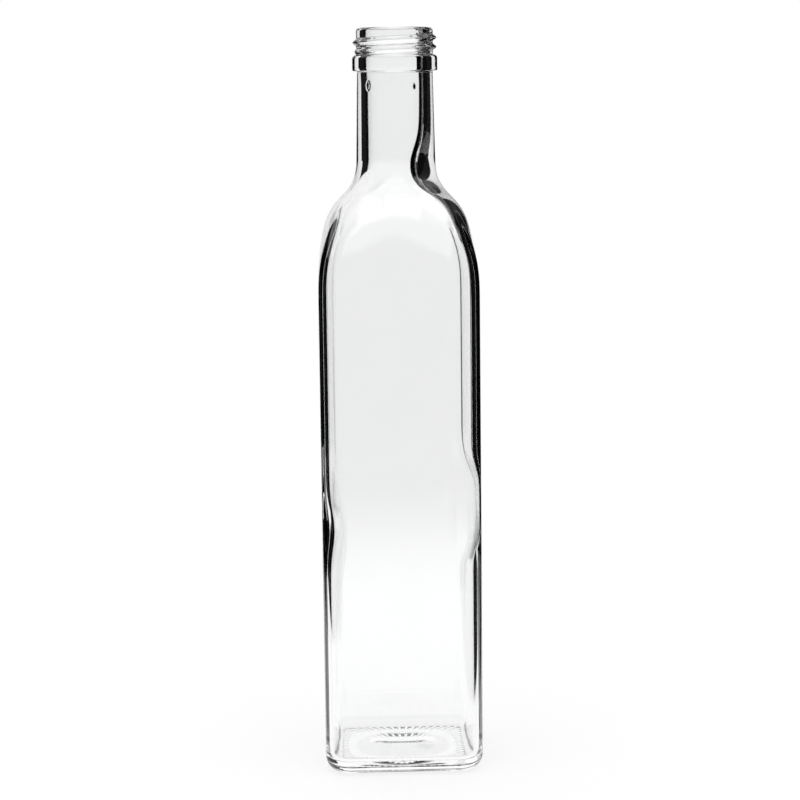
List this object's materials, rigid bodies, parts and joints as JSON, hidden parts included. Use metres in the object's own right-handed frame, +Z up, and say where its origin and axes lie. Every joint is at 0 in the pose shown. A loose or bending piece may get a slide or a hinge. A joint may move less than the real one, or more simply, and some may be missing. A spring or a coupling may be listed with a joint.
{
  "type": "glass oil bottle",
  "caption": "Tall square bottle of clear glass with rounded corners, a soft shoulder, a round neck and an open screw finish, for keeping and pouring cooking oil.",
  "frame": {"origin": "middle of the foot, on the surface that the bottle stands on", "axes": "+Z up along the neck, +X and +Y square to the flat sides"},
  "size_m": [0.057, 0.057, 0.266],
  "materials": {
    "clear_glass": "gloss"
  },
  "bodies": {
    "root": {"glass_bottle": "clear_glass"}
  },
  "joints": []
}
